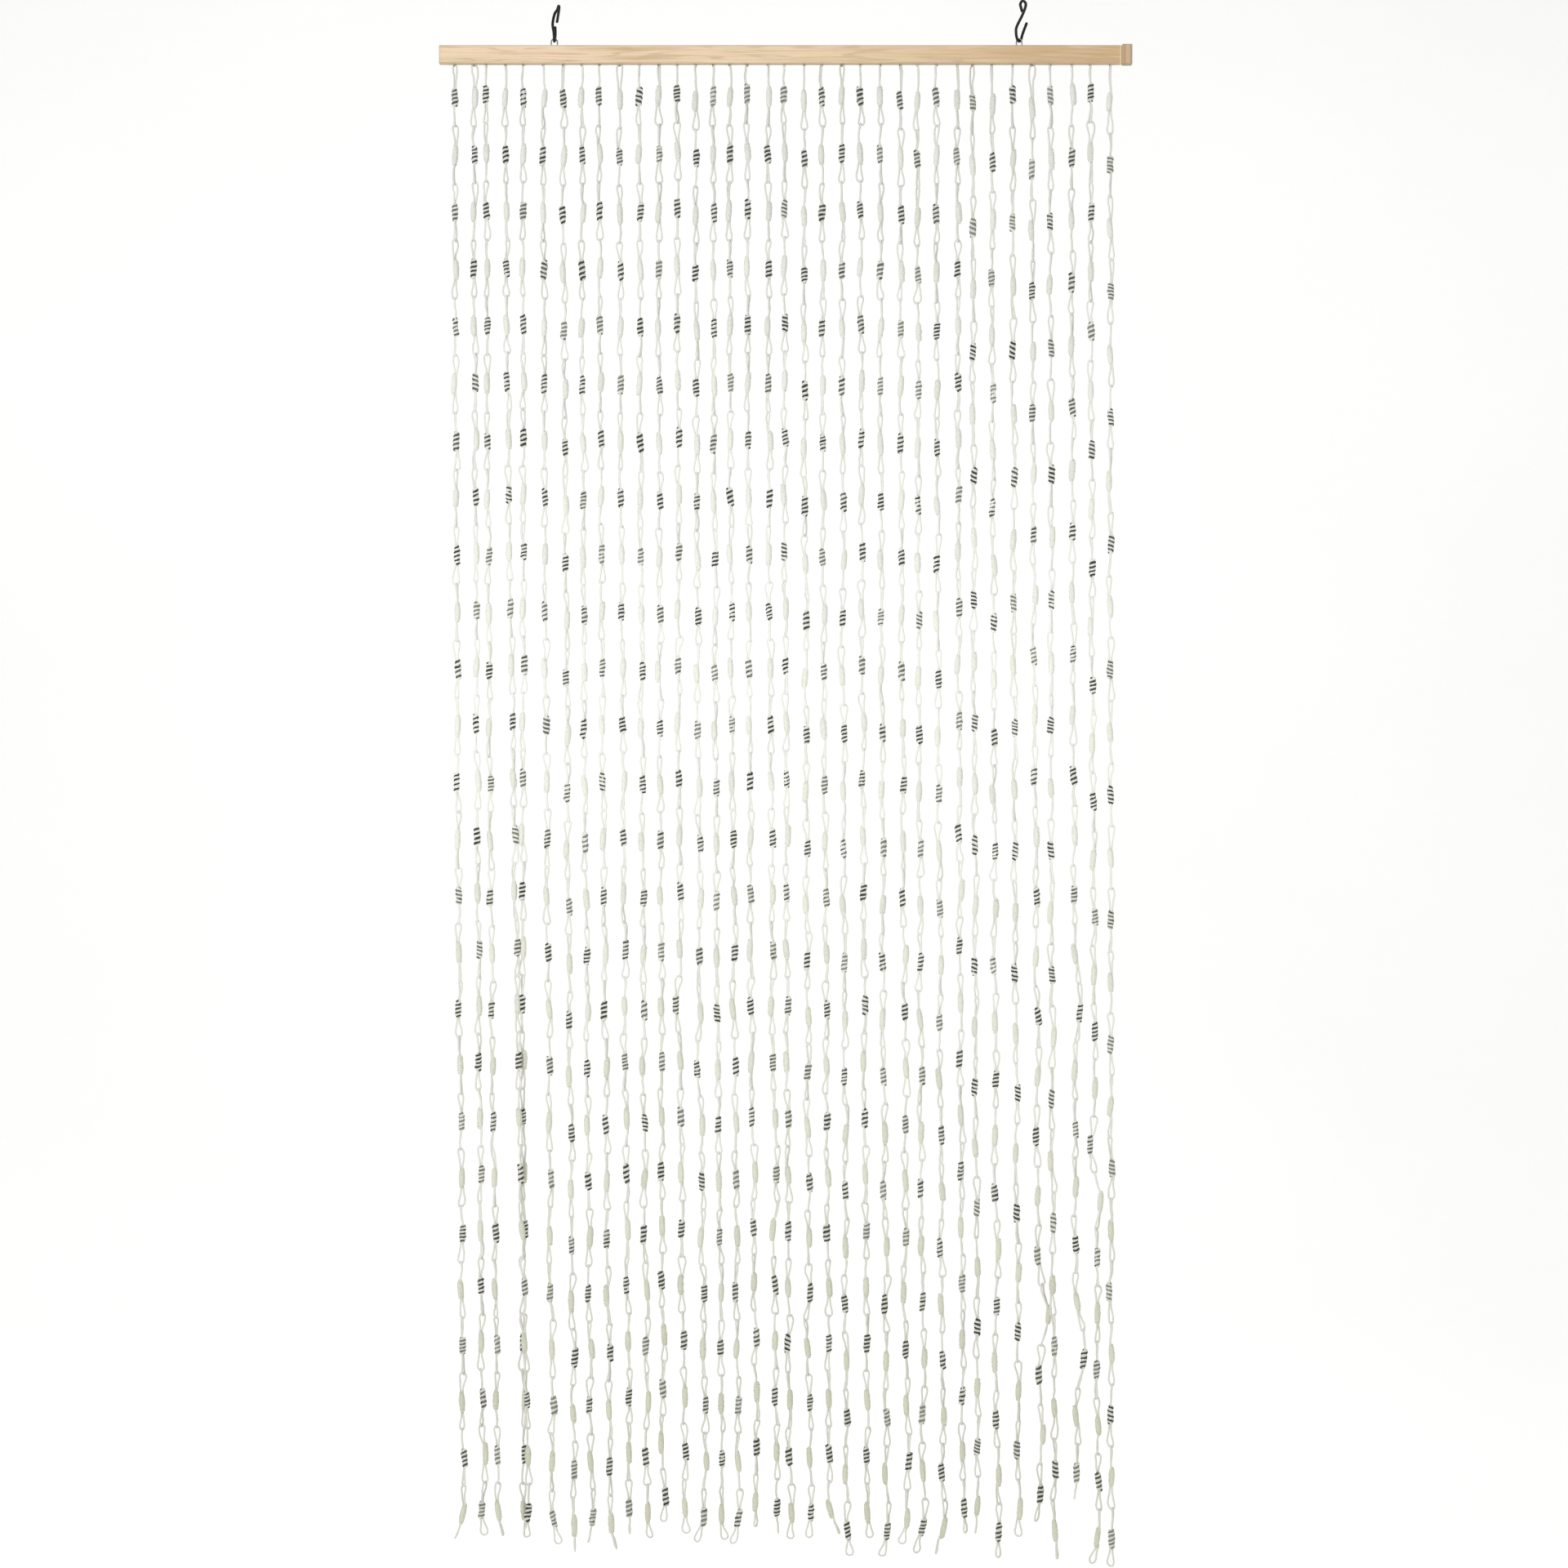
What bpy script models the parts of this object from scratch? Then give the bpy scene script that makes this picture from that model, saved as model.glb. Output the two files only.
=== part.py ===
"""A string door curtain: knotted cord strands under a wooden bar that hangs from two wire hooks.

Metres, +Z up, +X to the right and -Y to the front. The origin lies over the middle of the bar,
at the mean height of the two hooks' upper bends, by which the curtain is hung.
"""

import math
import random

import bmesh
import bpy
from mathutils import Matrix, Vector

MM = 0.001
GAP = 0.3 * MM  # between pieces that touch on the real curtain
WELD = 0.001 * MM

# The bar
BAR_LENGTH = 0.900  # with its end block
BAR_DEPTH = 0.016
BAR_HEIGHT = 0.024
BAR_TOP = -0.055
BAR_ROUND = 0.8 * MM
BAR_UNDERSIDE = BAR_TOP - BAR_HEIGHT

# The block on its right-hand end stands a little proud of it
BLOCK_LENGTH = 0.013
BLOCK_PROUD_TOP = 1.5 * MM
BLOCK_PROUD_FOOT = 0.7 * MM
BLOCK_PROUD_FACE = 0.6 * MM
BLOCK_ROUND = 0.6 * MM

# The groove under the bar, and the heading strips in it
GROOVE_WIDTH = 5.0 * MM
GROOVE_DEPTH = 5.0 * MM
GROOVE_MARGIN = 7.0 * MM  # past the outermost strands
STRIP_WIDTH = GROOVE_WIDTH - 2 * GAP
STRIP_HEIGHT = GROOVE_DEPTH - GAP

# The wire eyes: an arch over the bar, on two legs that go down into it
EYE_RADIUS = 4.0 * MM  # of the arch, to the middle of the wire
EYE_WIRE_RADIUS = 0.9 * MM
EYE_STEPS = 8  # round the arch
EYE_HEIGHT = 5.0 * MM  # of the arch's centre over the bar
LEG_DEPTH = 12.0 * MM
LEG_HOLE_SIDES = 6

# The hooks' wire
HOOK_WIRE_RADIUS = 1.85 * MM
HOOK_STEPS = 2  # points for each row of a hook's route

# The knotted strands, as they hang
WRAP_LENGTH = 24.0 * MM
WRAP_RADIUS = 5.5 * MM  # to the corners of the three-sided section
JOIN_RADIUS = 3.0 * MM
ROOT_RADIUS = 1.7 * MM
TAIL_RADIUS = 1.8 * MM
TAIL_LENGTH = 0.46  # of a strand's pitch, below its last knot's middle
SECTION_SIDES = 3
LONGEST_DROP = 1.93
DRIFT_BEND = 1.6  # how much of a strand's drift comes near its foot
JITTER_TOP = 0.6 * MM
JITTER_FOOT = 2.4 * MM
SEED = 40

# A row for each wire eye and its hook: the eye's place along the bar, and how far it turns
EYES = {
    "left": {"across": -300.6, "turn": 0.0},
    "right": {"across": 303.4, "turn": -30.0},
}

# The hooks' routes in millimetres, from the free end of the lower bend to that of the upper:
# across from the eye, behind it, and above the bar
HOOK_ROUTES = {
    "left": (
        (0.8, 7.2, 25.0),
        (1.1, 5.8, 16.5),
        (0.6, 3.5, 9.0),
        (0.0, 0.0, 5.9),
        (0.0, -3.5, 9.0),
        (-0.5, -5.4, 17.0),
        (-2.0, -3.8, 27.8),
        (0.0, 4.2, 41.5),
        (3.4, 5.6, 47.6),
        (5.4, 0.6, 51.9),
        (6.4, -4.6, 48.0),
        (3.8, -5.0, 30.6),
    ),
    "right": (
        (9.9, 6.4, 30.0),
        (4.8, 3.8, 16.2),
        (2.7, 2.5, 9.0),
        (0.1, 0.0, 5.9),
        (-2.7, -2.5, 8.9),
        (-4.1, -3.6, 16.5),
        (-3.2, -3.2, 24.5),
        (4.4, -3.2, 40.2),
        (8.1, -4.3, 50.4),
        (8.1, -4.3, 55.0),
        (4.9, -0.1, 58.6),
        (1.8, 4.1, 54.8),
        (3.9, 3.8, 45.8),
    ),
}

# A row for each strand, in millimetres: its place along the bar, the first knot's middle below
# the bar, from knot to knot, how many knots, the drift at the foot, the lean of the tail, and how
# much lower its middle knots hang than an even spacing would have them
STRAND_ROWS = (
    (-430, 43.5, 73.6, 26, 13, -11, 7),
    (-405, 43.5, 73.4, 26, 13, 3, 6),
    (-389, 39.5, 73.6, 26, 16, 7, 13),
    (-364, 43.5, 73.5, 26, 33, -2, 2),
    (-341, 42.5, 73.5, 26, 0, 0, 3),
    (-315, 45, 73.8, 26, 14, 8, 2),
    (-289, 44, 74.2, 26, 16, 2, 12),
    (-265, 43, 73.8, 26, 14, -6, 9),
    (-242, 41.5, 74.2, 26, 15, 7, 1),
    (-216, 46, 73.2, 26, 15, 1, 7),
    (-190, 42, 73.6, 26, 11, 4, 11),
    (-165, 41, 72.8, 26, 7, -3, 21),
    (-141, 38, 73.5, 26, 10, 1, 9),
    (-117, 47.5, 73.6, 26, 13, -9, 8),
    (-94, 41.5, 73.7, 26, 12, 4, 14),
    (-73, 42, 73.9, 26, 13, -8, 4),
    (-50, 38, 73.2, 26, 13, 0, 16),
    (-23, 42.5, 73.3, 26, 13, 1, 10),
    (-2, 39.5, 73.7, 26, 8, -1, 5),
    (24, 46.5, 73.4, 26, 9, -2, 18),
    (47, 42.5, 73.4, 26, 11, 11, 13),
    (73, 40, 74.6, 26, 7, 5, 9),
    (97, 41.5, 73.6, 26, 11, 2, 4),
    (123, 41, 74.6, 26, 9, -8, 7),
    (149, 47, 73.7, 26, 11, -8, 5),
    (171, 48, 74.1, 26, 9, -10, 8),
    (196, 42.5, 74.4, 26, 9, -9, 13),
    (223, 46, 73.2, 26, 9, 1, 2),
    (243, 50, 79.3, 24, 8, -3, 13),
    (268, 52.5, 74.2, 26, 8, -1, 6),
    (295, 39.5, 79.9, 24, 9, -1, 24),
    (320, 57, 78.3, 24, 13, -5, 7),
    (344, 40.5, 81.1, 24, 5, 2, 8),
    (372, 39, 77.9, 24, 6, -3, 28),
    (396, 37, 75.1, 26, 11, -9, 20),
    (422, 48.5, 81.2, 24, 1, -1, 8),
)
STRAND_COLUMNS = ("across", "first", "pitch", "knots", "drift", "lean", "slack")

# Where a strand leaves its line, in millimetres: the strand, how far below the bar, half the
# length that it takes, and how far it swings across and behind
SWAY_ROWS = (
    (4, 1600, 520, 0, -6.5),
    (5, 1600, 520, 0, 6.5),
    (13, 1220, 60, -6, 0),
    (14, 1305, 70, -6, 0),
    (18, 1433, 90, 5, 0),
    (20, 1656, 60, -5, 0),
    (25, 1598, 60, -5, 0),
    (32, 1620, 60, 11, 6),
    (33, 1620, 150, 0, -5),
    (34, 1216, 80, 8, 0),
    (34, 1662, 45, 18, 0),
    (35, 1397, 60, -7, 0),
    (35, 1470, 40, 5, 0),
)
SWAY_COLUMNS = ("strand", "drop", "reach", "across", "behind")

# The strands that share a heading strip, from first to last
GROUPS = {"left": (1, 12), "middle": (13, 24), "right": (25, 36)}


def rows_of(rows, columns):
    return [dict(zip(columns, row)) for row in rows]


STRANDS = rows_of(STRAND_ROWS, STRAND_COLUMNS)
SWAYS = rows_of(SWAY_ROWS, SWAY_COLUMNS)


def clear_scene():
    for obj in list(bpy.data.objects):
        bpy.data.objects.remove(obj, do_unlink=True)


def new_collection(name):
    collection = bpy.data.collections.new(name)
    bpy.context.scene.collection.children.link(collection)
    return collection


def new_material(name, colour, roughness, metallic=0.0):
    material = bpy.data.materials.new(name)
    material.use_nodes = True
    shader = material.node_tree.nodes["Principled BSDF"]
    shader.inputs["Base Color"].default_value = (*colour, 1.0)
    shader.inputs["Roughness"].default_value = roughness
    shader.inputs["Metallic"].default_value = metallic
    material.diffuse_color = (*colour, 1.0)
    return material


def put_in(obj, collection):
    for other in list(obj.users_collection):
        other.objects.unlink(obj)
    collection.objects.link(obj)


def as_part(obj, name, material, parts):
    obj.name = name
    obj.data.name = name
    obj.data.materials.clear()
    obj.data.materials.append(material)
    put_in(obj, parts)
    return obj


def as_helper(obj, name, helpers):
    obj.name = name
    obj.hide_render = True
    obj.display_type = "WIRE"
    put_in(obj, helpers)
    return obj


def add_box(low, high):
    """A box between two corners, its size applied."""
    low, high = Vector(low), Vector(high)
    bpy.ops.mesh.primitive_cube_add(size=1, location=(low + high) / 2)
    obj = bpy.context.object
    obj.data.transform(Matrix.Diagonal((*(high - low), 1.0)))
    return obj


def add_rod(radius, low, high, sides):
    """An upright cylinder from one height to another, at the origin across."""
    bpy.ops.mesh.primitive_cylinder_add(
        vertices=sides, radius=radius, depth=high - low, location=(0, 0, (low + high) / 2)
    )
    return bpy.context.object


def add_boolean(obj, operation, other):
    modifier = obj.modifiers.new(f"{operation.lower()} {other.name}", "BOOLEAN")
    modifier.operation = operation
    modifier.object = other
    modifier.solver = "EXACT"


def add_rounding(obj, width, segments):
    modifier = obj.modifiers.new("rounded edges", "BEVEL")
    modifier.width = width
    modifier.segments = segments
    modifier.limit_method = "ANGLE"


def smooth_route(points, steps):
    """Points on a smooth curve through the given ones, steps of them for each span."""
    ends = [2 * points[0] - points[1], *points, 2 * points[-1] - points[-2]]
    route = []
    for before, start, end, after in zip(ends, ends[1:], ends[2:], ends[3:]):
        for step in range(steps):
            t = step / steps
            bend = (2 * before - 5 * start + 4 * end - after) * t**2
            twist = (3 * (start - end) + after - before) * t**3
            route.append(start + ((end - before) * t + bend + twist) / 2)
    return [*route, points[-1]]


def add_wire(name, routes, radii=None, depth=0.0, resolution=0, profile=None):
    """A curve object with one straight-jointed spline for each route, and its ends filled."""
    curve = bpy.data.curves.new(name, "CURVE")
    curve.dimensions = "3D"
    curve.use_fill_caps = True
    if profile:
        curve.bevel_mode = "OBJECT"
        curve.bevel_object = profile
    else:
        curve.bevel_depth = depth
        curve.bevel_resolution = resolution
    for index, route in enumerate(routes):
        spline = curve.splines.new("POLY")
        spline.points.add(len(route) - 1)
        for number, (point, place) in enumerate(zip(spline.points, route)):
            point.co = (*place, 1.0)
            point.radius = radii[index][number] if radii else 1.0
    obj = bpy.data.objects.new(name, curve)
    bpy.context.scene.collection.objects.link(obj)
    return obj


def made_mesh(obj):
    """The curve object's mesh, its caps welded to its sides, in place of the curve."""
    graph = bpy.context.evaluated_depsgraph_get()
    mesh = bpy.data.meshes.new_from_object(obj.evaluated_get(graph))
    form = bmesh.new()
    form.from_mesh(mesh)
    bmesh.ops.remove_doubles(form, verts=form.verts, dist=WELD)
    bmesh.ops.recalc_face_normals(form, faces=form.faces)
    form.to_mesh(mesh)
    form.free()
    made = bpy.data.objects.new(obj.name, mesh)
    made.matrix_world = obj.matrix_world
    bpy.context.scene.collection.objects.link(made)
    bpy.data.objects.remove(obj, do_unlink=True)
    return made


def make_bar(wood, parts, helpers):
    right = BAR_LENGTH / 2 - BLOCK_LENGTH - GAP
    low = (-BAR_LENGTH / 2, -BAR_DEPTH / 2, BAR_UNDERSIDE)
    bar = as_part(add_box(low, (right, BAR_DEPTH / 2, BAR_TOP)), "bar", wood, parts)
    add_rounding(bar, BAR_ROUND, 1)
    groove_ends = [
        STRANDS[0]["across"] * MM - GROOVE_MARGIN,
        STRANDS[-1]["across"] * MM + GROOVE_MARGIN,
    ]
    groove = add_box(
        (groove_ends[0], -GROOVE_WIDTH / 2, BAR_UNDERSIDE - BAR_ROUND),
        (groove_ends[1], GROOVE_WIDTH / 2, BAR_UNDERSIDE + GROOVE_DEPTH),
    )
    add_boolean(bar, "DIFFERENCE", as_helper(groove, "groove cutter", helpers))
    for side in EYES:
        for foot in eye_feet(side):
            hole = add_rod(EYE_WIRE_RADIUS + GAP, -LEG_DEPTH - GAP, EYE_HEIGHT, LEG_HOLE_SIDES)
            hole.location += foot
            add_boolean(bar, "DIFFERENCE", as_helper(hole, f"{side} leg hole cutter", helpers))
    return bar


def make_end_block(wood, parts):
    half_depth = BAR_DEPTH / 2 + BLOCK_PROUD_FACE
    block = add_box(
        (BAR_LENGTH / 2 - BLOCK_LENGTH, -half_depth, BAR_UNDERSIDE - BLOCK_PROUD_FOOT),
        (BAR_LENGTH / 2, half_depth, BAR_TOP + BLOCK_PROUD_TOP),
    )
    as_part(block, "end_block", wood, parts)
    add_rounding(block, BLOCK_ROUND, 1)
    return block


def eye_feet(side):
    """Where a wire eye's two legs enter the bar's top."""
    eye = EYES[side]
    middle = Vector((eye["across"] * MM, 0, BAR_TOP))
    along = Matrix.Rotation(math.radians(eye["turn"]), 3, "Z") @ Vector((EYE_RADIUS, 0, 0))
    return [middle - along, middle + along]


def make_eye(side, steel, parts):
    """A bent wire: an arch over the bar, and two legs down into it."""
    left, right = eye_feet(side)
    middle, along = (left + right) / 2, (right - left) / 2
    upward = Vector((0, 0, 1))
    route = [left - upward * LEG_DEPTH]
    for step in range(EYE_STEPS + 1):
        turn = math.pi * (1 - step / EYE_STEPS)
        height = EYE_HEIGHT + EYE_RADIUS * math.sin(turn)
        route.append(middle + along * math.cos(turn) + upward * height)
    route.append(right - upward * LEG_DEPTH)
    eye = add_wire(f"eye_{side}", [route], depth=EYE_WIRE_RADIUS, resolution=1)
    return as_part(eye, f"eye_{side}", steel, parts)


def make_hook(side, black, parts):
    eye = Vector((EYES[side]["across"] * MM, 0, BAR_TOP))
    rows = [eye + Vector(row) * MM for row in HOOK_ROUTES[side]]
    route = smooth_route(rows, HOOK_STEPS)
    hook = add_wire(f"hook_{side}", [route], depth=HOOK_WIRE_RADIUS, resolution=1)
    return as_part(hook, f"hook_{side}", black, parts)


def sway_at(number, drop):
    """How far this strand swings off its line at this drop, across and behind."""
    across = behind = 0.0
    for sway in SWAYS:
        off = abs(drop - sway["drop"] * MM) / (sway["reach"] * MM)
        if sway["strand"] == number and off < 1:
            share = (1 + math.cos(math.pi * off)) / 2
            across += share * sway["across"] * MM
            behind += share * sway["behind"] * MM
    return across, behind


def hang_strand(number):
    """The middles of a strand's knots and of the joins below them, and the tip of its tail."""
    strand = STRANDS[number - 1]
    chance = random.Random(SEED + number)
    places = []
    for half in range(2 * strand["knots"]):
        slack = strand["slack"] * math.sin(math.pi * half / (2 * strand["knots"] - 2))
        drop = (strand["first"] + half * strand["pitch"] / 2 + slack) * MM
        depth = drop / LONGEST_DROP
        jitter = JITTER_TOP + (JITTER_FOOT - JITTER_TOP) * depth
        across, behind = sway_at(number, drop)
        across += strand["across"] * MM + strand["drift"] * MM * depth**DRIFT_BEND
        across += chance.uniform(-jitter, jitter)
        behind += chance.uniform(-jitter, jitter)
        places.append(Vector((across, behind, BAR_UNDERSIDE - drop)))
    knots, joins = places[0::2], places[1::2]
    tail = knots[-1] + Vector((strand["lean"], 0, -TAIL_LENGTH * strand["pitch"])) * MM
    return knots, [*joins[:-1], tail]


def strand_route(number):
    """The rings of a strand's solid from root to tail, and their radii."""
    knots, joins = hang_strand(number)
    root = Vector((STRANDS[number - 1]["across"] * MM, 0, BAR_UNDERSIDE + STRIP_HEIGHT / 2))
    route, radii = [root], [ROOT_RADIUS]
    above = Vector((root.x, 0, BAR_UNDERSIDE))
    for knot, join in zip(knots, joins):
        half = (above - join).normalized() * WRAP_LENGTH / 2
        route += [knot + half, knot - half, join]
        radii += [WRAP_RADIUS, WRAP_RADIUS, JOIN_RADIUS]
        above = join
    radii[-1] = TAIL_RADIUS
    return route, radii


def make_section(helpers):
    """The closed outline of a strand's section, of radius 1."""
    curve = bpy.data.curves.new("strand section", "CURVE")
    spline = curve.splines.new("POLY")
    spline.points.add(SECTION_SIDES - 1)
    for number, point in enumerate(spline.points):
        turn = 2 * math.pi * number / SECTION_SIDES
        point.co = (math.cos(turn), math.sin(turn), 0, 1)
    spline.use_cyclic_u = True
    obj = bpy.data.objects.new("strand section", curve)
    bpy.context.scene.collection.objects.link(obj)
    return as_helper(obj, "strand section", helpers)


def strip_ends(group):
    """Where a group's heading strip starts and ends along the bar."""
    first, last = GROUPS[group]
    ends = []
    for inner, outer, side in ((first, first - 1, -1), (last, last + 1, 1)):
        here = STRANDS[inner - 1]["across"] * MM
        if 1 <= outer <= len(STRANDS):
            there = STRANDS[outer - 1]["across"] * MM
            ends.append((here + there) / 2 - side * GAP / 2)
        else:
            ends.append(here + side * (GROOVE_MARGIN - GAP))
    return ends


def make_strands(group, section, cord, parts, helpers):
    """A group's heading strip with its strands fused to it."""
    start, end = strip_ends(group)
    strip = add_box(
        (start, -STRIP_WIDTH / 2, BAR_UNDERSIDE),
        (end, STRIP_WIDTH / 2, BAR_UNDERSIDE + STRIP_HEIGHT),
    )
    as_part(strip, f"strands_{group}", cord, parts)
    first, last = GROUPS[group]
    routes, radii = zip(*(strand_route(number) for number in range(first, last + 1)))
    strands = made_mesh(add_wire(f"{group} strands", routes, radii, profile=section))
    add_boolean(strip, "UNION", as_helper(strands, f"{group} strands", helpers))
    return strip


def main():
    clear_scene()
    parts = new_collection("door curtain")
    helpers = new_collection("cutters and guides")
    wood = new_material("pale pine", (0.74, 0.55, 0.36), 0.55)
    end_wood = new_material("end block pine", (0.62, 0.43, 0.26), 0.6)
    steel = new_material("zinc wire", (0.75, 0.74, 0.72), 0.3, metallic=1.0)
    black = new_material("black lacquered wire", (0.02, 0.02, 0.02), 0.4)
    cord = new_material("off-white cord", (0.78, 0.78, 0.72), 0.9)
    make_bar(wood, parts, helpers)
    make_end_block(end_wood, parts)
    for side in EYES:
        make_eye(side, steel, parts)
        make_hook(side, black, parts)
    section = make_section(helpers)
    for group in GROUPS:
        make_strands(group, section, cord, parts, helpers)


main()
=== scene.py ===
"""The looks of a string door curtain: chains of cord links under a pale wooden bar on two wire hooks.

Metres, +Z up, +X to the right and -Y to the front, as in the frame.
"""

import math
import random

import bmesh
import bpy
from mathutils import Matrix, Vector


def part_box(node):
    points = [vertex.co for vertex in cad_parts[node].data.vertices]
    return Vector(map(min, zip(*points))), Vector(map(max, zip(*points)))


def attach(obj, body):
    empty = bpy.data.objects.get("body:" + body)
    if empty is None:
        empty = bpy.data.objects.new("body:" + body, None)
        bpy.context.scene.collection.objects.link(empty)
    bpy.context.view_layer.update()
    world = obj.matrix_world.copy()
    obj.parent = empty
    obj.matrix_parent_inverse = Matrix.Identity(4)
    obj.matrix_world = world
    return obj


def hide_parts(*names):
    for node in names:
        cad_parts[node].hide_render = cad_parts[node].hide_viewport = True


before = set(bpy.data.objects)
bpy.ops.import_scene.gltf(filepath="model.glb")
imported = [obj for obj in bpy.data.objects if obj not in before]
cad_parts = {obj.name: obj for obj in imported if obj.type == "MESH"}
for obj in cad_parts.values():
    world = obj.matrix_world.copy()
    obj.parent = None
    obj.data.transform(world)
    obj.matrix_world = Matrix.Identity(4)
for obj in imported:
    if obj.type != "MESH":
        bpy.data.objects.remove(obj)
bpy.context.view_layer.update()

MM = 0.001

# The photograph's square frame in pixels, and where the bar lies in it
IMAGE_SIDE = 1920
BAR_IN_IMAGE = 848
BAR_MIDDLE_IN_IMAGE = 962
BAR_UNDERSIDE_IN_IMAGE = 78.8
CAMERA_DISTANCE = 6.5
SENSOR = 36.0

# What the frame gives
BAR_LOW, BAR_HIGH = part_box("bar")
BLOCK_LOW, BLOCK_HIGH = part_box("end_block")
BAR_LENGTH = BLOCK_HIGH.x - BAR_LOW.x
BAR_TOP = BAR_HIGH.z
BAR_UNDERSIDE = BAR_LOW.z

# The heading strips in the bar's groove
STRIP_WIDTH = 4.4 * MM
STRIP_HEIGHT = 4.7 * MM
STRIP_GAP = 0.3 * MM
STRIP_MARGIN = 6.7 * MM
STRIP_LIFT = 0.2 * MM  # how far its underside keeps inside the groove
STRIP_ROUNDING = 0.5 * MM

# The cord, and the loops that it makes between two knots
CORD_RADIUS = 1.3 * MM
CORD_SIDES = 5
LOOP_STEPS = 14
LOOP_HALF_WIDTH = 3.2 * MM
LOOP_SHOULDER = 0.36  # moves a loop's widest place towards its bend
LOOP_EASE = 0.75  # rounds the bend
LOOP_WAVE = 2.8 * MM  # how far the cord strays from a clean curve
LOOP_WAVES = 48.0  # in a metre
TUCK = 4.0 * MM  # how far a loop's ends go into the knot

# The knots, wound round the loops' ends
WRAP_LENGTH = 24.0 * MM
WRAP_RADIUS = 3.2 * MM  # to the middle of the cord that is wound
WRAP_TUCK = 0.35  # how much slimmer a winding's ends are
TUCK_POWER = 10  # how suddenly the ends draw in
WRAP_WAVES = 170.0
STRIPED_STARTS = 2  # a dark cord and a white one
STRIPED_STEPS = 29
STRIPED_BELLY = 0.05
STRIPED_WAVE = 1.5 * MM
STRIPED_CORE = 3.3 * MM
DARK_SHARE = 0.96  # how thick the dark cord is beside the white one
PLAIN_STARTS = 2
PLAIN_STEPS = 24
PLAIN_BELLY = 0.26
PLAIN_WAVE = 0.9 * MM
PLAIN_RADIUS = 3.0 * MM
PLAIN_CORE = 3.95 * MM
PLAIN_STRETCH = 1.14  # how much longer a plain knot is than a striped one
CORE_STEPS = 6
CORE_SIDES = 8

# The small windings that hold the strands' tops under the bar
ROOT_RADIUS = 1.1 * MM
ROOT_TURNS = 1.4
ROOT_STEPS = 11
ROOT_HEIGHT = 2.4 * MM
ROOT_DROP = 1.4 * MM
ROOT_WAVE = 0.3 * MM
ROOT_CORE = 1.2 * MM

# The wire eyes: an arch over the bar, on two legs that go down into it
EYE_RADIUS = 4.0 * MM
EYE_WIRE_RADIUS = 0.9 * MM
EYE_STEPS = 24
EYE_HEIGHT = 5.0 * MM
LEG_DEPTH = 12.0 * MM

# The hooks' wire
HOOK_WIRE_RADIUS = 1.85 * MM
HOOK_STEPS = 8

# How round all the wires are, and the domes that close their ends
WIRE_RESOLUTION = 3  # gives 10 sides
DOME_STEPS = 4
DOME_TIP = 0.02  # the thickness at a dome's tip, beside the wire's
WELD = 0.001 * MM

# How the strands hang
LONGEST_DROP = 1.93
DRIFT_BEND = 1.6
TAIL_LENGTH = 0.46  # from the last knot's middle, as a share of the way from knot to knot
JITTER_TOP = 0.6 * MM
JITTER_FOOT = 2.4 * MM
SEED = 40

# How one loop or knot differs from the next
LOOKS_SEED = 900
FIRST_LOOP_WIDTH = 0.95
TAIL_LOOP_WIDTH = 1.1
LOOP_WIDTHS = (0.7, 1.15)
LOOP_TURNS = (0, 90)  # in degrees, facing the front and edge on
LOOP_TURN_SPREAD = 18
NEXT_LOOP_TURN = 90  # from the loop above the join to the one below it
NEXT_LOOP_SPREAD = 14
LOOP_BOW = 1.3 * MM
KNOT_TILT = 0.09
KNOT_GIRTHS = (0.92, 1.1)
KNOT_LENGTHS = (0.86, 1.03)
KNOT_TURNS = (3.8, 4.8)
OTHER_HAND = 0.06  # the share of knots that is wound the other way
STRIPED_ASIDE = 0.5 * MM
PLAIN_ASIDE = 1.3 * MM
ASIDE_DEPTH = 0.6  # how far it lies aside to the front or back, beside left or right

EYES = {
    "left": {"across": -300.6, "turn": 0.0},
    "right": {"across": 303.4, "turn": -30.0},
}

# The hooks' routes in millimetres, from the free end of the lower bend to that of the upper:
# across from the eye, behind it, and above the bar
HOOK_ROUTES = {
    "left": (
        (0.8, 7.2, 25.0),
        (1.1, 5.8, 16.5),
        (0.6, 3.5, 9.0),
        (0.0, 0.0, 5.9),
        (0.0, -3.5, 9.0),
        (-0.5, -5.4, 17.0),
        (-2.0, -3.8, 27.8),
        (0.0, 4.2, 41.5),
        (3.4, 5.6, 47.6),
        (5.4, 0.6, 51.9),
        (6.4, -4.6, 48.0),
        (3.8, -5.0, 30.6),
    ),
    "right": (
        (9.9, 6.4, 30.0),
        (4.8, 3.8, 16.2),
        (2.7, 2.5, 9.0),
        (0.1, 0.0, 5.9),
        (-2.7, -2.5, 8.9),
        (-4.1, -3.6, 16.5),
        (-3.2, -3.2, 24.5),
        (4.4, -3.2, 40.2),
        (8.1, -4.3, 50.4),
        (8.1, -4.3, 55.0),
        (4.9, -0.1, 58.6),
        (1.8, 4.1, 54.8),
        (3.9, 3.8, 45.8),
    ),
}

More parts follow.
